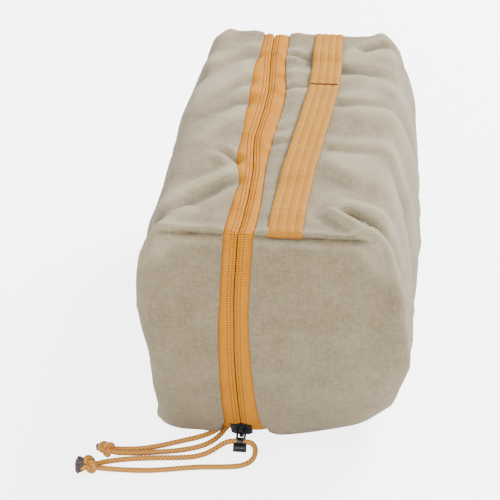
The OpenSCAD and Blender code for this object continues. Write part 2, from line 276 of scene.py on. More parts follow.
# %% Woven polyester, in two weights
def woven_polyester(name, base, light, rib, slant, roughness):
    """Ribs every rib millimetres along the piece, which slant steps sideways make a zigzag."""
    material, tree, shader = new_finish(name, Roughness=roughness, Sheen_Weight=0.03,
                                        Specular_IOR_Level=0.2)
    uv = node(tree, "UVMap", uv_map="UVMap").outputs["UV"]
    place = node(tree, "TexCoord").outputs["Object"]
    parts = node(tree, "SeparateXYZ", {0: uv})
    zigzag = node(tree, "Math", {0: parts.outputs[0], 1: slant}, operation="PINGPONG").outputs[0]
    along = node(tree, "Math", {0: parts.outputs[1], 1: zigzag}, operation="ADD").outputs[0]
    slanted = node(tree, "CombineXYZ", {0: parts.outputs[0], 1: along}).outputs[0]
    ribs = wave(tree, slanted, rib, "Y", {"Distortion": 0.3, "Detail": 1.0})
    fibres = wave(tree, slanted, 0.8, "X", {"Distortion": 0.6, "Detail": 1.0})
    weave = mixed(tree, 0.3, ribs, fibres)
    lit = mixed(tree, 0.35, weave, noise(tree, place, 90.0, 4.0))
    tone = two_tone(tree, lit, (0.15, base), (0.85, light))
    tree.links.new(tone, shader.inputs["Base Color"])
    relief(tree, shader, 0.5, 0.2, weave)
    return material


TAPE = woven_polyester("woven polyester zip tape", "#A66004", "#D68E12", 1.1, 0.01, 0.72)
WEBBING = woven_polyester("woven polyester webbing", "#985E0C", "#CE8E28", 1.4, 1.2, 0.62)
THREAD = woven_polyester("twisted polyester thread", "#3C1C00", "#8A4C08", 0.9, 0.4, 0.6)

# %% [markdown]
# ### Braided cord
# Nylon cord with a braided sleeve. Two families of strands wind opposite ways round it, so the
# colour follows two slanted wave patterns in the cord's own UV map, as painted shade between the
# strands, and its shape does too.

# %% Braided nylon, coil, lining, metal and melted cord
def braided_nylon():
    """Painted shade between the strands of the braid, with a fine fuzz of fibres."""
    material, tree, shader = new_finish("braided nylon cord", Roughness=0.58, Sheen_Weight=0.2)
    braid = node(tree, "Attribute", attribute_name="braid").outputs["Fac"]
    # Painted shade: the colour is darkest where the braid's height is low, between the strands, and
    # lightest on their crowns.
    tone = two_tone(tree, braid, (0.0, "#A06212"), (0.7, "#DB9A3A"))
    tree.links.new(tone, shader.inputs["Base Color"])
    place = node(tree, "TexCoord").outputs["Object"]
    relief(tree, shader, 0.25, 0.08, noise(tree, place, 2500.0, 2.0))
    return material


def grained(name, dark, light, grain_mm, depth, **sockets):
    """A finish that is a little uneven in colour and surface, with grain of a given size."""
    material, tree, shader = new_finish(name, **sockets)
    place = node(tree, "TexCoord").outputs["Object"]
    grain = noise(tree, place, 1 / (grain_mm * MM), 4.0, Roughness=0.6)
    tone = two_tone(tree, grain, (0.35, dark), (0.65, light))
    tree.links.new(tone, shader.inputs["Base Color"])
    relief(tree, shader, 0.4, depth, grain)
    return material


CORD = braided_nylon()
COIL = grained("extruded polyester coil", "#B9803A", "#D79D52", 2.0, 0.02, Roughness=0.4)
LINING = grained("woven nylon pack cloth", "#80786A", "#8F8777", 0.8, 0.08, Roughness=0.7)
METAL = grained("die-cast zinc, black nickel plated", "#25282C", "#42464C", 1.2, 0.03,
                Metallic=0.85, Roughness=0.36)
MELTED = grained("melted nylon", "#2E272C", "#64575C", 1.6, 0.5, Roughness=0.5)
print("finishes:", ", ".join(sorted(m.name for m in bpy.data.materials)))

# %% [markdown]
# ## Pull cords
# Each slider has a loop of 3.2 mm cord that goes through its pull's ring and ends in one knot.
# The loop is made as two strands, from the ring to the knot. Their routes repeat the CAD's.
# A curve through the route's points gives the middle line, and a ring of points is carried
# along it. The radius swells where a strand of the braid comes to the surface.

# %% Curves and swept tubes
cord_d = 3.2


def smooth_route(points, step=0.5):
    """A Catmull-Rom curve through the points: each span is a cubic whose ends take their
    slopes from the neighbours on each side. It is then resampled to even steps of length."""
    p = np.asarray(points, float)
    p = np.concatenate([[2 * p[0] - p[1]], p, [2 * p[-1] - p[-2]]])
    t = np.linspace(0, 1, 24, endpoint=False)[None, :, None]
    a, b, c, d = (p[i:len(p) - 3 + i, None] for i in range(4))
    curve = b + t * (c - a) / 2 + t ** 2 * (a - 2.5 * b + 2 * c - d / 2) \
        + t ** 3 * (1.5 * (b - c) + (d - a) / 2)
    curve = np.concatenate([curve.reshape(-1, 3), p[-2:-1]])
    length = np.concatenate([[0], np.cumsum(np.linalg.norm(np.diff(curve, axis=0), axis=1))])
    even = np.linspace(0, length[-1], max(3, round(length[-1] / step)))
    return np.stack([np.interp(even, length, curve[:, k]) for k in range(3)], 1)


def unit(vectors):
    """Vectors scaled to length one."""
    return vectors / np.maximum(np.linalg.norm(vectors, axis=-1, keepdims=True), 1e-9)


def braid_at(along, around):
    """How far a strand stands out: the larger of two wave patterns that wind opposite ways,
    each four strands round and one turn every 9 mm."""
    phase = 2 * math.pi * along / 9
    return np.maximum(np.sin(4 * around + 4 * phase), np.sin(4 * around - 4 * phase))


def cord_grid(route, radius, closed=False, sides=20):
    """Rings of points round a route: middle + radius * (cos * side + sin * up), where side is
    level and up is square to it and to the route. Also gives the braid's height at each."""
    if closed:
        way = unit(np.roll(route, -1, 0) - np.roll(route, 1, 0))
    else:
        way = unit(np.gradient(route, axis=0))
    side = unit(np.cross(way, (0.05, 0.08, 1.0)))
    up = np.cross(side, way)
    around = np.linspace(0, 2 * math.pi, sides, endpoint=False)[None, :]
    along = np.concatenate([[0], np.cumsum(np.linalg.norm(np.diff(route, axis=0), axis=1))])
    braid = braid_at(along[:, None], around)
    r = (radius * (0.965 + 0.035 * braid))[..., None]
    grid = route[:, None] + r * (np.cos(around)[..., None] * side[:, None]
                                 + np.sin(around)[..., None] * up[:, None])
    return grid, braid


def keep_values(piece, name, values):
    """Stores one number for each vertex, for the finish to read."""
    piece.data.attributes.new(name, "FLOAT", "POINT").data.foreach_set(
        "value", np.asarray(values, np.float32).ravel())


# %% The routes of the two loops
front_ring = (-17.7, -123.5, 4.98)
lower_ring = (-17.7, -101.1, 4.98)
front_long_route = [
    (-13.2, -123.5, 4.9), (-10.6, -124.2, 4.4), (-8.8, -126.6, 3.5), (-8.4, -130, 2.6),
    (-9, -133.8, 2), (-11.2, -137.4, 1.7), (-14.8, -140, 1.6), (-19.6, -141.6, 1.6),
    (-28, -142.8, 1.6), (-38, -143.8, 1.6), (-48, -145.6, 1.6), (-58, -147.8, 1.6),
    (-69, -149.6, 1.6), (-80, -150.6, 1.9), (-90, -151.4, 2.6), (-97, -152.2, 3.8)]
front_short_route = [
    (-22.6, -123.5, 4.9), (-25.9, -124.2, 4.4), (-29.3, -126.4, 3.6), (-33.2, -129.6, 2.6),
    (-37.8, -132.8, 1.9), (-44, -135.4, 1.6), (-51, -136.8, 1.6), (-57, -137.5, 1.6),
    (-64, -138.2, 1.6), (-72, -139.4, 1.6), (-80, -140.8, 1.7), (-86, -142.6, 2),
    (-91.5, -145, 2.7), (-94.8, -147, 3.3), (-97.4, -149, 4)]
lower_back_route = [
    (-22.6, -99.4, 4.6), (-25.8, -100.4, 3.4), (-29, -103.8, 2.2), (-32, -108.2, 1.7),
    (-35.6, -112.4, 1.6), (-40.6, -116.2, 1.6), (-46, -119.2, 1.6), (-51, -121.4, 1.6),
    (-56, -123.7, 1.6), (-61, -126, 1.6), (-67, -128.5, 1.6), (-73, -130.5, 1.6),
    (-79, -132.2, 1.9), (-84.5, -133.7, 2.6), (-89.5, -135, 3.6)]
lower_front_route = [
    (-22.6, -102.8, 4.6), (-25.4, -104.6, 3.4), (-28.2, -109, 2.2), (-30.6, -114, 1.7),
    (-33.8, -119.4, 1.6), (-38.2, -123.9, 1.6), (-43, -126.9, 1.6), (-48, -129, 1.6),
    (-54, -130.9, 1.6), (-60, -132.3, 1.6), (-66, -133.4, 1.6), (-72, -134.5, 1.6),
    (-78, -135.7, 1.9), (-83.5, -136.8, 2.6), (-89, -138, 3.6)]


def strand(name, ring, route, into_knot, body, node_name):
    """One strand of a loop, from the middle of the pull's ring to the middle of its knot."""
    path = smooth_route([ring, *route, into_knot])
    grid, braid = cord_grid(path, cord_d / 2)
    piece = grid_piece(name, grid, around=True, caps=True)
    keep_values(piece, "braid", braid)
    finish_piece(piece, CORD, "cord", body, node_name)


# %% [markdown]
# ## Knots and melted ends
# The knot is an overhand knot pulled tight. Its line is the trefoil, whose x and y are sums of
# a slow circle and a fast one, squeezed until the turns touch. The cord's ends are melted into
# a dark, lumpy bead: an ellipsoid with waves of random direction added to its radius.

# %% Knots and beads
def ripples(points, size, seed):
    """A smooth random field: the mean of twelve plane waves of random direction and phase, all
    near one wavelength in millimetres. It runs from about -1 to 1."""
    random = np.random.default_rng(seed)
    way = unit(random.normal(size=(12, 3))) * (2 * math.pi / size) \
        * random.uniform(0.7, 1.3, (12, 1))
    phase = random.uniform(0, 2 * math.pi, 12)
    return np.sin(points @ way.T + phase).sum(-1) / 4


def overhand_knot(name, middle, width, turn, body, *nodes):
    """A tube round a trefoil. turn sets how the knot lies."""
    t = np.linspace(0, 2 * math.pi, 150, endpoint=False)
    line = np.stack([np.sin(t) + 2 * np.sin(2 * t), np.cos(t) - 2 * np.cos(2 * t),
                     -1.5 * np.sin(3 * t)], 1) * (width / 2 - cord_d / 2) / 3
    turned = line @ np.array(Matrix.Rotation(turn, 3, "X") @ Matrix.Rotation(turn * 2, 3, "Z")).T
    turned += np.array(middle) - (turned.max(0) + turned.min(0)) / 2
    grid, braid = cord_grid(turned, cord_d / 2, closed=True, sides=14)
    grid = np.concatenate([grid, grid[:1]])
    piece = grid_piece(name, grid, around=True)
    keep_values(piece, "braid", np.concatenate([braid, braid[:1]]))
    return finish_piece(piece, CORD, "cord", body, *nodes)


def melted_bead(name, middle, radii, seed, body, *nodes):
    """An ellipsoid whose radius varies with a random field."""
    polar = np.linspace(0, math.pi, 33)[:, None]
    around = np.linspace(0, 2 * math.pi, 48, endpoint=False)[None]
    way = np.stack([np.cos(polar) + 0 * around, np.sin(polar) * np.cos(around),
                    np.sin(polar) * np.sin(around)], 2)
    lumps = 1 + 0.16 * ripples(way * 4, 4.5, seed) + 0.07 * ripples(way * 4, 1.8, seed + 1)
    grid = np.array(middle) + way * np.array(radii) * lumps[..., None]
    piece = grid_piece(name, grid, around=True)
    weld(piece)
    return finish_piece(piece, MELTED, "melted_cord", body, *nodes)


def weld(piece, distance=0.01):
    """Joins points closer than a distance in millimetres, which closes seams and poles."""
    mesh = bmesh.new()
    mesh.from_mesh(piece.data)
    bmesh.ops.remove_doubles(mesh, verts=mesh.verts, dist=distance * MM)
    mesh.to_mesh(piece.data)
    mesh.free()


front_knot_place, lower_knot_place = (-102, -151.8, 5.4), (-94.6, -137, 5)
front_knot = overhand_knot("front_loop_knot", front_knot_place, 11.6, 0.5, "front_cord_loop",
                           "front_cord_knot")
front_bead = melted_bead("front_loop_melted_ends", (-107, -152.4, 5.3), (3, 4.6, 4.6), 3,
                         "front_cord_loop", "front_cord_melted_end")
lower_knot = overhand_knot("lower_loop_knot", lower_knot_place, 10.6, 1.1, "lower_pull",
                           "lower_cord_knot")
lower_bead = melted_bead("lower_loop_melted_ends", (-99.4, -136, 5), (1.5, 2, 2.1), 8,
                         "lower_pull", "lower_cord_melted_end")
strand("front_loop_long_strand", front_ring, front_long_route, front_knot_place,
       "front_cord_loop", "front_cord_long")
strand("front_loop_short_strand", front_ring, front_short_route, front_knot_place,
       "front_cord_loop", "front_cord_short")
strand("lower_loop_back_strand", lower_ring, lower_back_route, lower_knot_place,
       "lower_pull", "lower_cord_back")
strand("lower_loop_front_strand", lower_ring, lower_front_route, lower_knot_place,
       "lower_pull", "lower_cord_front")

# %% [markdown]
# ## The bag's shape
# The bag is measured as a stack of level outlines. Each is a rectangle with round corners, and
# its half width and half length follow two big arcs, eased into the base and top by small ones.
# A point is inside if it is inside the outline at its own height. The surface is then found by
# walking out along a ray until it leaves the bag, which works for any layout of the fabric.

# %% The body's outlines
_, high = (np.array(c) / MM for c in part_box("main_canvas"))
half_l, half_w, height = high[1], high[0], high[2]
zip_x = -17.7
belly_z, belly_r, upper_r, low_r, top_r = 75, 150, 320, 12, 3
side_z, side_r, side_low_r, side_top_r = 70, 178, 10, 8
soft_z, corner_low_r, corner_top_r = 60, 14, 5


def arc_half(z, half, big, small, mid_z, small_z):
    """Half an extent at a height: the big circle's edge, or past the point where the small
    circle touches it from inside, the small circle's edge."""
    step = small_z - mid_z
    reach = math.sqrt((big - small) ** 2 - step ** 2)
    touch = mid_z + big * step / (big - small)
    past = z < touch if step < 0 else z > touch
    wide = np.sqrt(np.maximum(big ** 2 - (z - mid_z) ** 2, 0))
    tight = reach + np.sqrt(np.maximum(small ** 2 - (z - small_z) ** 2, 0))
    return half - big + np.where(past, tight, wide)


def half_width(z):
    """Half the bag's width at a height: the lower or the upper pair of side arcs."""
    return np.where(z < side_z, arc_half(z, half_w, side_r, side_low_r, side_z, side_low_r),
                    arc_half(z, half_w, side_r, side_top_r, side_z, height - side_top_r))


def half_length(z):
    """Half the bag's length at a height: the lower or the upper pair of end arcs."""
    return np.where(z < belly_z, arc_half(z, half_l, belly_r, low_r, belly_z, low_r),
                    arc_half(z, half_l, upper_r, top_r, belly_z, height - top_r))


def outside(points):
    """Distance outside the level outline or past the base or top; negative inside."""
    x, y, z = np.moveaxis(points, -1, 0)
    level = np.clip(z, 0, height)
    ease = np.clip((level - soft_z) / (height - soft_z), 0, 1)
    corner = corner_low_r + (corner_top_r - corner_low_r) * ease
    across = np.abs(x) - half_width(level) + corner
    along = np.abs(y) - half_length(level) + corner
    level_gap = np.hypot(np.maximum(across, 0), np.maximum(along, 0)) \
        + np.minimum(np.maximum(across, along), 0) - corner
    return np.maximum(level_gap, np.maximum(-z, z - height))


def surface_hit(start, way):
    """The point where each ray leaves the bag, by halving the span that holds it 36 times."""
    near, far = np.zeros(start.shape[:-1]), np.full(start.shape[:-1], 260.0)
    for _ in range(36):
        middle = (near + far) / 2
        inside = outside(start + way * middle[..., None]) < 0
        near, far = np.where(inside, middle, near), np.where(inside, far, middle)
    return start + way * near[..., None]


print("bag", round(2 * half_w), "x", round(2 * half_l), "x", round(height), "mm")

# %% [markdown]
# ## The zip's line and the fabric's edges
# The zip was sewn by hand along soft fabric, so it wanders a few millimetres, and so do the
# folded canvas edges beside it. Each line is a short list of places: how far along the zip from
# the middle of the top, and where the line runs across the bag there. Averaging takes out the
# corners between the straight spans.

# %% Lines that wander along the zip
slit_line = [(-300, -17.7), (-262, -17.7), (-240, -18.3), (-200, -18.9), (-160, -18.6),
             (-140, -17.2), (-121, -16.2), (-107, -15.2), (-83, -14.6), (-56, -15.2),
             (-23, -18.4), (-4, -17.8), (18, -16.6), (37, -16), (71, -18.5), (98, -20.4),
             (129, -20.8), (180, -19), (250, -17.7), (300, -17.7)]
left_line = [(-300, -28), (-258, -28), (-232, -28.2), (-180, -28), (-150, -26),
             (-122, -24.4), (-100, -23.6), (-78, -21.6), (-66, -21.8), (-54, -25.8),
             (-28, -26.4), (15, -26.6), (42, -27.7), (69, -29), (106, -27.6), (127, -28),
             (180, -27), (300, -27)]
right_line = [(-300, -4), (-272, -1), (-264, -4), (-254, -6.2), (-228, -7.8),
              (-180, -10.2), (-150, -9), (-121, -7), (-98, -6), (-66, -7.2), (-50, -7.8),
              (-20, -6.6), (17, -4.8),
              (37, -4.2), (60, -6.8), (85, -9.2), (121, -9.8), (180, -8.4), (300, -8.4)]


def along_line(line, s):
    """A line's place across the bag at s, averaged over 9 mm each way."""
    at, across = np.array(line, float).T
    return np.mean([np.interp(s + step, at, across) for step in np.linspace(-9, 9, 7)], 0)


def zip_track(step=1.0):
    """The zip's path in its own plane, for half the bag, from the middle of the top down the
    front and back up under the base: straight, small arc, two big arcs, small arc, straight.
    Gives points (y, z), outward normals and distance s, for both halves together."""
    turn_r, turn_z, climb, track_end = 6, 11.5, math.radians(14), 76
    belly_y = belly_r - half_l
    turn_y = belly_y - math.sqrt((belly_r - turn_r) ** 2 - (belly_z - turn_z) ** 2)
    top_y = upper_r - half_l - math.sqrt((upper_r - top_r) ** 2 - (height - top_r - belly_z) ** 2)
    lean = math.atan2(height - top_r - belly_z, upper_r - half_l - top_y)
    dip = math.atan2(turn_z - belly_z, belly_y - turn_y)
    spans = [((top_y, height - top_r), top_r, math.pi / 2, lean),
             ((upper_r - half_l, belly_z), upper_r, lean, 0),
             ((belly_y, belly_z), belly_r, 0, dip),
             ((turn_y, turn_z), turn_r, dip, climb - math.pi / 2)]
    y, z, normal_y, normal_z = [], [], [], []
    flat = np.arange(0, -top_y, step)
    y.append(-flat), z.append(0 * flat + height)
    normal_y.append(0 * flat), normal_z.append(0 * flat + 1)
    for middle, radius, first, last in spans:
        count = max(8, round(abs(first - last) * radius / step))
        a = np.linspace(first, last, count, endpoint=False)
        y.append(middle[0] - radius * np.cos(a)), z.append(middle[1] + radius * np.sin(a))
        normal_y.append(-np.cos(a)), normal_z.append(np.sin(a))
    start_y = turn_y + turn_r * math.sin(climb)
    under = np.arange(start_y, -track_end + step, step)
    y.append(under)
    z.append(turn_z - turn_r * math.cos(climb) + (under - start_y) * math.tan(climb))
    normal_y.append(0 * under + math.sin(climb)), normal_z.append(0 * under - math.cos(climb))
    y, z, normal_y, normal_z = map(np.concatenate, (y, z, normal_y, normal_z))
    s = -np.concatenate([[0], np.cumsum(np.hypot(np.diff(y), np.diff(z)))])
    return [np.concatenate([a[::-1], sign * a[1:]])
            for a, sign in ((y, -1), (z, 1), (normal_y, -1), (normal_z, 1), (s, -1))]


track_y, track_z, track_ny, track_nz, track_s = zip_track()
print("the zip's path is", round(track_s[-1] - track_s[0]), "mm long")

# %% [markdown]
# ## Drape
# Canvas that has been used doesn't lie in true arcs. Cloth simulation is the usual way to rumple
# it, and it isn't used here: the folds are laid in one by one, where they are wanted. Each is a
# line from one point to another, with a valley along it and a soft ridge on both sides, and
# random fields add the smaller slackness. Every fold is in millimetres in the bag's own frame,
# so both bowls, the lining and the tape can share it.

# %% Folds, seams and slack
folds = [  # from, to, depth (negative is a ridge), half width
    ((-22, -69, 150), (-58, -112, 149), 2.2, 4.0), ((-24, -66, 150), (-52, -84, 150), -1.6, 5.0),
    ((-25, -49, 149), (-36, -38, 150), 2.6, 3.0), ((-27, 25, 150), (-56, -4, 149), 1.6, 5.0),
    ((-29, 54, 150), (-54, 6, 149), 1.5, 4.5), ((-28, 92, 150), (-56, 62, 149), 1.4, 5.0),
    ((-28, 10, 150), (-50, -30, 149), -1.3, 6.0), ((-60, -112, 147), (-72, -84, 110), 1.4, 7.0),
    ((-7, 93, 150), (8, 89, 150), 1.7, 3.0), ((-4, 43, 150), (9, 50, 150), 2.0, 3.0),
    ((-6, -28, 150), (3, -25, 150), 1.3, 2.6), ((-4, -11, 150), (4, -3, 150), 1.2, 2.6),
    ((-5, 66, 150), (9, 70, 150), -1.2, 5.0), ((26, 72, 150), (62, 60, 149), 1.8, 5.0),
    ((26, 27, 150), (62, 24, 149), 1.5, 4.5), ((25, -28, 150), (62, -33, 149), 1.3, 5.0),
    ((25, 88, 150), (66, 96, 146), -1.2, 7.0), ((24, -60, 150), (60, -84, 149), 1.1, 7.0),
    ((31, -101, 150), (57, -123, 150), -2.0, 3.2), ((40, -99, 150), (61, -117, 149), 3.0, 4.0),
    ((57, -124, 150), (64, -125, 133), 2.6, 3.0), ((58, -112, 147), (70, -108, 118), 1.6, 6.0),
    ((-57, -124, 150), (-63, -126, 136), 1.6, 3.0), ((-44, -104, 150), (-60, -119, 149), -1.2, 3.4),
    ((57, 123, 150), (65, 124, 130), 2.2, 3.4), ((40, 99, 150), (61, 117, 149), 2.0, 4.0),
    ((-57, 123, 150), (-65, 124, 130), 2.2, 3.4), ((-58, 60, 146), (-74, 30, 96), 1.6, 9.0),
    ((62, -40, 146), (75, -66, 88), 1.5, 9.0), ((60, 34, 146), (75, 60, 92), 1.4, 9.0),
    ((-73, -70, 60), (-74, -10, 80), 1.2, 10.0), ((72, 10, 50), (74, 76, 66), 1.2, 10.0),
    ((-66, -96, 16), (-74, -60, 50), 1.3, 8.0), ((66, -92, 14), (74, -52, 48), 1.4, 8.0)]


fold_gain = 1.35  # every depth in the list is multiplied by this


def fold_field(points):
    """Sum over the folds of 1.35 * depth * (0.6 * ridge - valley) * (1 - 0.75 * t * t), where t
    goes from 0 to 1 along the line. The ridge is a bell curve of the distance from the line,
    and the valley falls off with the power 1.5 of it, so its floor is sharper."""
    total = np.zeros(points.shape[:-1])
    for start, end, depth, half in folds:
        start, run = np.array(start, float), np.subtract(end, start).astype(float)
        t = np.clip(((points - start) @ run) / (run @ run), 0, 1)
        gap = np.linalg.norm(points - start - t[..., None] * run, axis=-1)
        valley = np.exp(-(gap / half) ** 1.5)
        ridge = np.exp(-((gap - 2.1 * half) / (1.3 * half)) ** 2)
        total += fold_gain * depth * (0.6 * ridge - valley) * (1 - 0.75 * t ** 2)
    return total


def end_seams(points):
    """The seams along the top of both end faces: a narrow groove with a puffed edge each side,
    which puckers a little along its length and stops at the corners."""
    x, y, z = np.moveaxis(points, -1, 0)
    seam_y, seam_z = half_length(np.float64(height - top_r)) - 0.4, height - 1.6
    gap = np.hypot(np.abs(y) - seam_y, z - seam_z)
    inside = np.clip((60 - np.abs(x)) / 6, 0, 1)
    pucker = 1 + 0.35 * np.sin(x / 2.3) * np.sin(x / 7.1 + 1)
    puff = 0.8 * np.exp(-((gap - 3.6) / 2.2) ** 2)
    groove = 2.3 * np.exp(-(gap / 1.05) ** 2)
    return inside * pucker * (puff - groove)


def slack(points):
    """Random fields of three sizes, with creases where a fourth field, ripple, passes zero:
    (1 - |ripple|) to the fourth power. The end faces and the top's long edges are calmer than
    the rest, and what the bag stands on stays flat."""
    y, z = points[..., 1], points[..., 2]
    ends = np.clip((np.abs(y) - 108) / 16, 0, 1)
    edges = np.clip((np.abs(points[..., 0]) - 48) / 8, 0, 1) * np.clip((z - 120) / 20, 0, 1)
    loose = (1 - 0.5 * ends) * (1 - 0.6 * edges)
    standing = np.clip(z / 10, 0, 1)
    creases = 1 - np.abs(ripples(points, 52, 5))
    return standing * loose * (0.9 * ripples(points, 110, 1) + 0.55 * ripples(points, 42, 2)
                               + 0.2 * ripples(points, 17, 3) + 0.9 * creases ** 4)


def edge_roll(gap):
    """How the folded canvas edge beside the zip stands: up a little 5 mm in, down at the edge."""
    return 0.9 * np.exp(-((gap - 5.5) / 4) ** 2) - 0.5 * np.exp(-(gap / 1.5) ** 2)


side_bulge = (-5.5, 4.6)  # the left side and the right side


def settle(points):
    """Moves the whole surface to where the bag's weight has set it. Both sides bulge outwards
    by a share, wide, of side_bulge. Near the front, bell curves of height shift the foot,
    middle and shoulder of each side across the bag, and the lower right corner is drawn back
    and up. All the distances are in millimetres."""
    x, y, z = np.moveaxis(points, -1, 0)
    front = np.clip((-y - 50) / 80, 0, 1) ** 1.5 * np.clip(1 - z / 95, 0, 1)
    near = np.clip((-y - 40) / 80, 0, 1) ** 1.3
    right, left = np.clip((x - 4) / 62, 0, 1) ** 1.3, np.clip((-x - 30) / 40, 0, 1)
    wide = np.clip(np.abs(x) / 60, 0, 1) ** 2 * np.clip(z / 60, 0, 1) \
        * np.clip((150 - np.abs(y + 10)) / 110, 0, 1)
    foot, middle, shoulder = (np.exp(-((z - at) / half) ** 2)
                              for at, half in ((2, 13), (60, 34), (132, 30)))
    moved = points.copy()
    moved[..., 0] += wide * np.where(x < 0, *side_bulge)
    moved[..., 0] += near * left * (7.5 * middle - 11 * foot - 4.5 * shoulder)
    moved[..., 0] += near * right * (1.5 * middle - 2 * foot + 2 * shoulder)
    moved[..., 1] += front * (17 * right + 1 * left)
    moved[..., 2] += front * (11 * right) * np.clip(1 - z / 60, 0, 1)
    return moved


# %% [markdown]
# ## Two bowls of canvas
# The fabric of each side is a bowl: its rim is the folded edge beside the zip and its middle is
# the side of the bag. The columns of its grid run round the rim, closer together where the end
# seams are, and its rows run from the rim, over the edge and down to the middle of the side.
# The wall has an inner face too, with a rounded rim between the two. A lofted shell like this
# keeps the boxed corners that five flat plates would lose.

# %% Lay out and build a bowl
core_y, core_gap, level_z = 62, 36, 75


def spread(first, last, count, busy=(), gain=2.5, width=5.0):
    """Numbers from first to last, packed closer near the busy ones: the running sum of a
    density is inverted."""
    fine = np.linspace(first, last, 4001)
    density = 1 + sum(gain * np.exp(-((fine - b) / width) ** 2) for b in busy)
    total = np.cumsum(density)
    return np.interp(np.linspace(total[0], total[-1], count), total, fine)


def rim_rays():
    """Start (y) and direction (y, z) of a ray for each column: round the front from below, back
    along the top, round the rear, and forward along the base."""
    arc = spread(-90, 90, 150, busy=(50.5,))
    flat = np.linspace(-core_y, core_y, 72)[1:-1]
    a = np.radians(arc)
    start = np.concatenate([0 * a - core_y, flat, 0 * a + core_y, flat[::-1]])
    way_y = np.concatenate([-np.cos(a), 0 * flat, np.cos(a[::-1]), 0 * flat])
    way_z = np.concatenate([np.sin(a), 0 * flat + 1, np.sin(a[::-1]), 0 * flat - 1])
    return start, way_y, way_z


def rim_place(start, way_y, way_z, x):
    """Where each column meets the zip's own plane, as a distance along the zip's path."""
    rays = np.stack([0 * start + x, start, 0 * start + level_z], 1)
    hit = surface_hit(rays, np.stack([0 * start, way_y, way_z], 1))
    nearest = np.argmin(np.hypot(hit[:, 1, None] - track_y, hit[:, 2, None] - track_z), 1)
    return track_s[nearest], hit


def bowl_grid(side, rows, extra):
    """Rows by columns of surface points of one bowl, before the drape. side is 1 for the right
    and -1 for the left. extra moves the rim back from the folded edge."""
    start, way_y, way_z = rim_rays()
    s, hit = rim_place(start, way_y, way_z, zip_x)
    edge = along_line(right_line if side > 0 else left_line, s) + side * extra
    if side > 0:
        closed = np.clip((84 - np.abs(hit[:, 1])) / 8, 0, 1) * (hit[:, 2] < 30)
        closed = closed ** 2 * (3 - 2 * closed)
        edge = edge + closed * (along_line(left_line, s) + 0.6 - edge)
    core_x = side * (half_w - core_gap)
    to_core, to_side = abs(core_x - zip_x) - 9, core_gap
    reach = np.linspace(0, 1, rows) * (to_core + to_side + level_z)
    inward = np.clip(reach / to_core, 0, 1)[:, None]
    over = np.clip(reach - to_core, 0, to_side)[:, None]
    down = 1 - np.clip((reach - to_core - to_side) / level_z, 0, 1)[:, None]
    x = edge[None] * (1 - inward) + core_x * inward
    rays = np.stack([x, 0 * x + start, 0 * x + level_z], 2)
    way = np.stack([side * over + 0 * x, down * way_y * level_z, down * way_z * level_z], 2)
    points = surface_hit(rays, unit(way))
    return points, np.abs(points[..., 0] - edge[None])


def grid_normals(grid, side):
    """Outward normals: the cross product of the steps along the grid's two ways."""
    around = np.roll(grid, -1, 1) - np.roll(grid, 1, 1)
    normals = unit(np.cross(np.gradient(grid, axis=0), around)) * side
    return np.concatenate([normals[:-2], np.repeat([[[side, 0, 0]]], 2, 0)
                           * np.ones((1, grid.shape[1], 1))])


def lift_over_zip(points, gap):
    """Raises the base beside the hollow where the zip turns under: a quarter circle of 14 mm
    beside the edge, never higher than the zip's own path."""
    reach = np.clip((np.abs(points[..., 1]) - 74) / 10, 0, 1)
    lobe = 14 - np.sqrt(np.maximum(14 ** 2 - np.clip(14 - gap, 0, 14) ** 2, 0))
    path = np.interp(-np.abs(points[..., 1]), track_y[:60], track_z[:60])
    floor_z = np.minimum(lobe, path + 0.5) * reach
    raised = points.copy()
    raised[..., 2] = np.maximum(points[..., 2], floor_z)
    return raised


def draped(points, normals, gap, inset):
    """Points moved along their normals by the folds, the seams, the slack and the rim's roll,
    and inwards by the inset. The underside is never pushed down. Also gives the fold's height."""
    fold = fold_field(points) + end_seams(points)
    out = fold + slack(points) + edge_roll(gap)
    standing = np.clip(points[..., 2] / 6, 0, 1)
    out = np.where(normals[..., 2] < -0.5, np.minimum(out * standing, 0), out)
    return points + normals * (out - inset)[..., None], fold


def bowl(name, side, thickness, inset=0.0, extra=0.0, rows=78):
    """Outer face, rounded rim and inner face, with points that meet welded together. The inner
    face keeps every third row. With 40 rows the last of these is the middle line, so the shell
    closes. With 78 it stops two rows short, which leaves a narrow slot in the inner face."""
    base, gap = bowl_grid(side, rows, extra)
    base = lift_over_zip(base, gap)
    normals = grid_normals(base, side)
    outer, fold = draped(base, normals, gap, inset)
    inner, _ = draped(base[::3], normals[::3], gap[::3], inset + thickness)
    middle = (outer[0] + inner[0]) / 2
    edge_way = np.array([-side * thickness * 0.5, 0, 0])
    rim = np.stack([outer[0] * 0.85 + inner[0] * 0.15 + edge_way * 0.7, middle + edge_way,
                    outer[0] * 0.15 + inner[0] * 0.85 + edge_way * 0.7])
    grid = settle(np.concatenate([outer[::-1], rim, inner]))
    values = np.concatenate([fold[::-1], np.repeat(fold[:1], 3, 0), fold[::3]])
    piece = grid_piece(name, grid, around=True, flip=side < 0)
    box_uv(piece)
    keep_values(piece, "fold", values)
    weld(piece, 0.02)
    return piece


def box_uv(piece):
    """A UV map in millimetres taken flat from the side that each face looks to most, so that
    threads run level and upright on the ends and sides and straight along the top."""
    mesh = piece.data
    normal = np.zeros(len(mesh.polygons) * 3)
    mesh.polygons.foreach_get("normal", normal)
    facing = np.abs(normal.reshape(-1, 3)).argmax(1)
    corner_face = np.repeat(np.arange(len(mesh.polygons)), 4)
    corner = np.zeros(len(mesh.loops), int)
    mesh.loops.foreach_get("vertex_index", corner)
    place = np.zeros(len(mesh.vertices) * 3)
    mesh.vertices.foreach_get("co", place)
    place = place.reshape(-1, 3)[corner] / MM
    pairs = np.array([[1, 2], [0, 2], [0, 1]])[facing[corner_face]]
    uv = np.take_along_axis(place, pairs, 1)
    mesh.uv_layers["UVMap"].data.foreach_set("uv", uv.ravel())


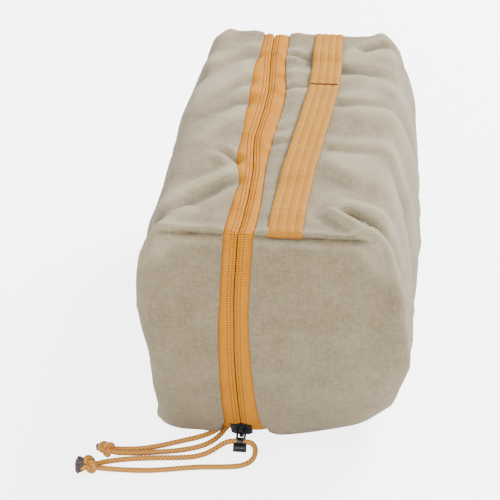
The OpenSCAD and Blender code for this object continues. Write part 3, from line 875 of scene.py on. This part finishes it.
canvas_thick, lining_thick = 1.4, 0.5
finish_piece(bowl("canvas_right", 1, canvas_thick), CANVAS, "waxed_canvas", "bag", "main_canvas")
finish_piece(bowl("canvas_left", -1, canvas_thick), CANVAS, "waxed_canvas", None, "lid_canvas")

# %% Linings
finish_piece(bowl("lining_right", 1, lining_thick, inset=2.9, extra=8, rows=40), LINING,
             "lining", "bag", "main_lining")
finish_piece(bowl("lining_left", -1, lining_thick, inset=2.9, extra=8, rows=40), LINING,
             "lining", None, "lid_lining")

# %% [markdown]
# ## Zip
# The tape is a thin band that follows the zip's path. It bulges a little where it shows, because
# the coil teeth are sewn to its back, and it dips under the canvas at its outer edge. A closed
# profile carried along the path gives it thickness. It takes the same folds as the canvas, so
# the two stay together. The teeth are one nylon line coiled into a flat helix on each side.

# %% Points beside the slit
def on_tape(side, s, across, depth):
    """Points at a distance s along the zip, across millimetres from the slit and depth
    millimetres under the bag's outer surface, moved by the same folds and slack."""
    y, z, normal_y, normal_z = (np.interp(s, track_s, a)
                                for a in (track_y, track_z, track_ny, track_nz))
    points = np.stack(np.broadcast_arrays(along_line(slit_line, s) + side * across, y, z), -1)
    normals = np.stack(np.broadcast_arrays(0 * across, normal_y, normal_z), -1)
    lowered = np.clip((track_s[-1] - np.abs(s)) / 40, 0, 1)
    out = (fold_field(points) + slack(points)) * lowered - depth
    return settle(points + normals * out[..., None])


tape_depth, tape_thick, crown_height = 1.9, 0.7, 1.1


def tape_top(side, s, across):
    """Depth of the tape's face: a half sine bulge where it shows, and a dip under the canvas."""
    shows = np.abs(along_line(right_line if side > 0 else left_line, s) - along_line(slit_line, s))
    share = np.clip(across / shows, 0, 1)
    bulge = crown_height * np.sin(math.pi * np.minimum(share * 1.05, 1)) ** 0.8
    return tape_depth - bulge + 0.5 * np.clip((across - shows + 1) / 2, 0, 1)


def tape(name, side, *nodes):
    """A closed band: its face from the slit outwards, and its back on the way home."""
    s = np.arange(track_s[0] + 1, track_s[-1] - 1, 1.2)[:, None]
    face = np.concatenate([[0.2, 0.45], np.linspace(0.8, 15, 22)])[None]
    top = tape_top(side, s, face)
    rounded = top + np.where(face < 0.3, 0.3, 0)
    outer = on_tape(side, s, face, rounded)
    back = on_tape(side, s, face[:, ::-1], (top + tape_thick)[:, ::-1])
    grid = np.concatenate([outer, back], 1)
    piece = grid_piece(name, grid, around=True, caps=True, flip=side > 0)
    return finish_piece(piece, TAPE, "zip_tape", "bag" if side > 0 else None, *nodes)


def coil(name, side, *nodes):
    """A flat helix: across = 1.95 - 1.6 cos, depth = 3.1 + 0.7 sin, one turn every 1.5 mm."""
    pitch = 1.5
    s = np.arange(track_s[0] + 2, track_s[-1] - 2, pitch / 8)
    turn = 2 * math.pi * s / pitch
    line = on_tape(side, s, 1.95 - 1.6 * np.cos(turn), 3.1 + 0.7 * np.sin(turn))
    grid, _ = cord_grid(line, 0.26, sides=5)
    piece = grid_piece(name, grid, around=True, caps=True)
    return finish_piece(piece, COIL, "zip_coil", "bag" if side > 0 else None, *nodes)


tape("zip_tape_right", 1, "zip_tape_main")
tape("zip_tape_left", -1, "zip_tape_lid", "zip_tape_left_tails")
coil("zip_teeth_right", 1, "zip_coil_main")
coil("zip_teeth_left", -1, "zip_coil_lid", "zip_coil_left_tails")

# %% [markdown]
# ### Stitches
# The teeth are held by two rows of lock stitches on each side of the slit. Each stitch is one
# small pillow with twelve corners. Copies are placed with one sum over whole arrays.

# %% Rows of stitches
def stitches(name, middles, along, out, size, material, body):
    """A pillow at each middle: a six-sided ring, a smaller ring above it and two end faces.
    size is its length, width and height in millimetres."""
    a = np.arange(6) * math.pi / 3
    ring = np.stack([np.cos(a), np.sin(a), 0 * a - 0.25], 1)
    upper = np.stack([0.62 * np.cos(a), 0.6 * np.sin(a), 0 * a + 1], 1)
    shape = np.concatenate([ring, upper]) * np.array([size[0] / 2, size[1] / 2, size[2]])
    across = unit(np.cross(out, along))
    points = middles[:, None] + shape[None, :, :1] * along[:, None] \
        + shape[None, :, 1:2] * across[:, None] + shape[None, :, 2:] * out[:, None]
    walls = [[k, (k + 1) % 6, 6 + (k + 1) % 6, 6 + k] for k in range(6)]
    faces = [[12 * i + c for c in face] for i in range(len(middles))
             for face in (*walls, [5, 4, 3, 2, 1, 0], [6, 7, 8, 9, 10, 11])]
    piece = add_piece(name, points.reshape(-1, 3), faces)
    uv = np.repeat(np.arange(len(piece.data.loops)) % 36, 2) * 0.1
    piece.data.uv_layers.new(name="UVMap").data.foreach_set("uv", uv)
    return finish_piece(piece, material, "thread", body)


def zip_stitches(name, side):
    """Two rows beside the slit. A stitch lies along the zip and stands out from the tape."""
    s = np.arange(track_s[0] + 6, track_s[-1] - 6, 1.55)
    rows = [(s + shift, 0 * s + across) for across, shift in ((1.7, 0), (3.5, 0.4))]
    s, across = (np.concatenate(a) for a in zip(*rows))
    depth = tape_top(side, s, across)
    middle = on_tape(side, s, across, depth)
    along = unit(on_tape(side, s + 0.5, across, depth) - on_tape(side, s - 0.5, across, depth))
    beside = unit(on_tape(side, s, across + 0.3, tape_top(side, s, across + 0.3)) - middle)
    out = unit(np.cross(along, beside)) * -side
    return stitches(name, middle, along, out, (0.8, 0.6, 0.3), THREAD,
                    "bag" if side > 0 else None)


zip_stitches("zip_stitches_right", 1)
zip_stitches("zip_stitches_left", -1)

# %% [markdown]
# ### Patches under the base
# The zip's two ends are closed by a short canvas patch under the base, just inside the hollow
# where the zip turns under. Each is a thin closed band over the last stretch of the path.

# %% End patches
def end_patch(name, end, node_name):
    """A band over the last 9 mm of the path, as wide as the zip shows."""
    s = end * (track_s[-1] - np.linspace(0.2, 9, 10))[:, None]
    across = np.linspace(-9.2, 9.2, 16)[None]
    face = on_tape(1, s, across, 0.2 + 0 * across)
    back = on_tape(1, s, across[:, ::-1], 1.2 + 0 * across)
    piece = grid_piece(name, np.concatenate([face, back], 1), around=True, caps=True, flip=end < 0)
    keep_values(piece, "fold", np.zeros(len(piece.data.vertices)))
    return finish_piece(piece, CANVAS, "waxed_canvas", "bag", node_name)


end_patch("zip_end_patch_front", -1, "zip_end_tab_front")
end_patch("zip_end_patch_back", 1, "zip_end_tab_back")

# %% [markdown]
# ## Carrying handle
# A length of 19 mm webbing, sewn into both end seams and tacked down once, two thirds of the
# way back. It lies nearly flat, with a low arc before the tack and a lower one behind it. Its
# four long ribs are part of its profile, and that outline is carried along its middle line.

# %% Webbing
web_line = [(-130, 8.4), (-97, 9), (-60, 11), (-11, 14.3), (30, 16.9), (48, 17.5), (70, 17.6),
            (116, 15.8), (130, 15.6)]
web_low, web_high = (np.array(c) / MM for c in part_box("handle_webbing"))
web_width, web_thick, tack_y = 19, 1.5, 48


def web_base(y):
    """Height of the webbing's underside: a low arc in front of the tack and a lower one behind
    it, on top of the highest canvas below, and pressed down where it is sewn."""
    x = along_line(web_line, y)
    across = x[:, None] + np.linspace(-9, 9, 7)
    below = np.stack(np.broadcast_arrays(across, y[:, None], height), -1)
    canvas = (fold_field(below) + slack(below)).max(1)
    front = 1 - ((y - (tack_y + web_low[1]) / 2) / ((tack_y - web_low[1]) / 2)) ** 2
    rear = 1 - ((y - (tack_y + web_high[1]) / 2) / ((web_high[1] - tack_y) / 2)) ** 2
    arc = np.maximum(np.where(y < tack_y, 2.6 * front, 1.0 * rear), 0)
    sewn = np.clip((np.abs(y) - web_high[1] + 1.5) / 4, 0, 1)
    return height + canvas + 0.15 + arc - 3.2 * sewn ** 2


def web_height(u):
    """Height of the face over the underside: four ribs between grooves, thinner at the edges."""
    ribs = np.abs(np.sin(math.pi * 4 * (u / web_width + 0.5))) ** 0.45
    edge = np.sqrt(np.clip(1 - (np.abs(u) / (web_width / 2)) ** 14, 0, 1))
    return (web_thick - 0.6 + 0.6 * ribs) * edge


web_y = np.arange(web_low[1] - 1.6, web_high[1] + 1.7, 0.9)
web_u = np.linspace(-web_width / 2, web_width / 2, 65)
web_x, web_z = along_line(web_line, web_y)[:, None], web_base(web_y)[:, None]
web_along = web_y[:, None]
web_face = np.stack(np.broadcast_arrays(web_x + web_u, web_along, web_z + web_height(web_u)), -1)
web_back = np.stack(np.broadcast_arrays(web_x + web_u[::-1], web_along, web_z), -1)[:, ::4]
webbing_piece = grid_piece("handle_webbing_strap", np.concatenate([web_face, web_back], 1),
                           around=True, caps=True, flip=True)
weld(webbing_piece, 0.01)
finish_piece(webbing_piece, WEBBING, "webbing", "bag", "handle_webbing")

# %% Bar tack
tack_u = np.linspace(-8.2, 8.2, 30)
tack_shift = 0.25 * np.sin(np.arange(30) * 2.4)
tack_at = np.interp(tack_y, web_y, web_z[:, 0])
tack_middle = np.stack([along_line(web_line, np.full(30, tack_y)) + tack_u, tack_y + tack_shift,
                        tack_at + web_height(tack_u) + 0.02], 1)
bar_tack = stitches("handle_bar_tack_threads", tack_middle, np.tile([0.0, 1, 0], (30, 1)),
                    np.tile([0.0, 0, 1], (30, 1)), (2.7, 0.62, 0.4), THREAD, "bag")
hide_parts("handle_bar_tack")

# %% [markdown]
# ## Sliders and pulls
# These are die-cast zinc and already have their true shape in the CAD model. A casting has no
# sharp edges, so each piece is a welded copy of its CAD node with its edges rounded.

# %% Round the edges of the castings
def softened(name, node_name, body, radius=0.28):
    """A copy of a CAD node, with its loose triangles joined and its edges bevelled."""
    piece = bpy.data.objects.new(name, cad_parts[node_name].data.copy())
    bpy.context.scene.collection.objects.link(piece)
    piece.data.materials.clear()
    weld(piece, 0.002)
    piece.data.polygons.foreach_set("use_smooth", np.ones(len(piece.data.polygons), bool))
    edges = piece.modifiers.new("rounded edges", "BEVEL")
    edges.width, edges.segments, edges.limit_method = radius * MM, 3, "ANGLE"
    edges.angle_limit = math.radians(32)
    normals = piece.modifiers.new("even shading", "WEIGHTED_NORMAL")
    normals.keep_sharp = True
    return finish_piece(piece, METAL, "slider_metal", body, node_name)


softened("front_slider_casting", "front_slider_body", "front_slider")
softened("front_pull_casting", "front_pull", "front_pull", 0.22)
softened("lower_slider_casting", "lower_slider_body", "bag")
softened("lower_pull_casting", "lower_pull", "lower_pull", 0.22)

# %% [markdown]
# ## Floor and light
# A pale, even studio: a white floor, a bright world and three soft panels. The strongest stands
# behind the bag to its right, which lights the top and the right side more than the near end.
# The floor's paper gives off light to camera rays only: it looks white and lights nothing else.

# %% Studio
def panel(name, place, size, power):
    """A square light that faces the bag."""
    light = bpy.data.objects.new(name, bpy.data.lights.new(name, "AREA"))
    light.data.size, light.data.energy = size, power
    light.location = place
    to_bag = np.array([0, 0, 0.08]) - np.array(place)
    light.rotation_euler = (math.atan2(np.hypot(*to_bag[:2]), -to_bag[2]), 0,
                            math.atan2(to_bag[1], to_bag[0]) - math.pi / 2)
    bpy.context.scene.collection.objects.link(light)


floor_mesh = bpy.data.meshes.new("floor")
floor_mesh.from_pydata([(-9, -9, 0), (9, -9, 0), (9, 9, 0), (-9, 9, 0)], [], [(0, 1, 2, 3)])
floor = bpy.data.objects.new("floor", floor_mesh)
bpy.context.scene.collection.objects.link(floor)
paper, paper_tree, paper_shader = new_finish(
    "matt white paper", Roughness=0.9, Base_Color=colour("#FCFCFC"), Emission_Color=(1, 1, 1, 1))
camera_ray = node(paper_tree, "LightPath").outputs["Is Camera Ray"]
seen = node(paper_tree, "Math", {0: camera_ray, 1: 4.0}, operation="MULTIPLY").outputs[0]
paper_tree.links.new(seen, paper_shader.inputs["Emission Strength"])
floor.data.materials.append(paper)
world = bpy.data.worlds.new("studio")
bpy.context.scene.world = world
world.use_nodes = True
world.node_tree.nodes["Background"].inputs["Color"].default_value = (1, 1, 1, 1)
world.node_tree.nodes["Background"].inputs["Strength"].default_value = 0.72
panel("panel_back_right", (0.9, 1.0, 1.3), 0.9, 76)
panel("panel_left", (-1.3, -0.3, 1.1), 1.0, 14)
panel("panel_front", (0.3, -1.7, 0.9), 1.2, 26)
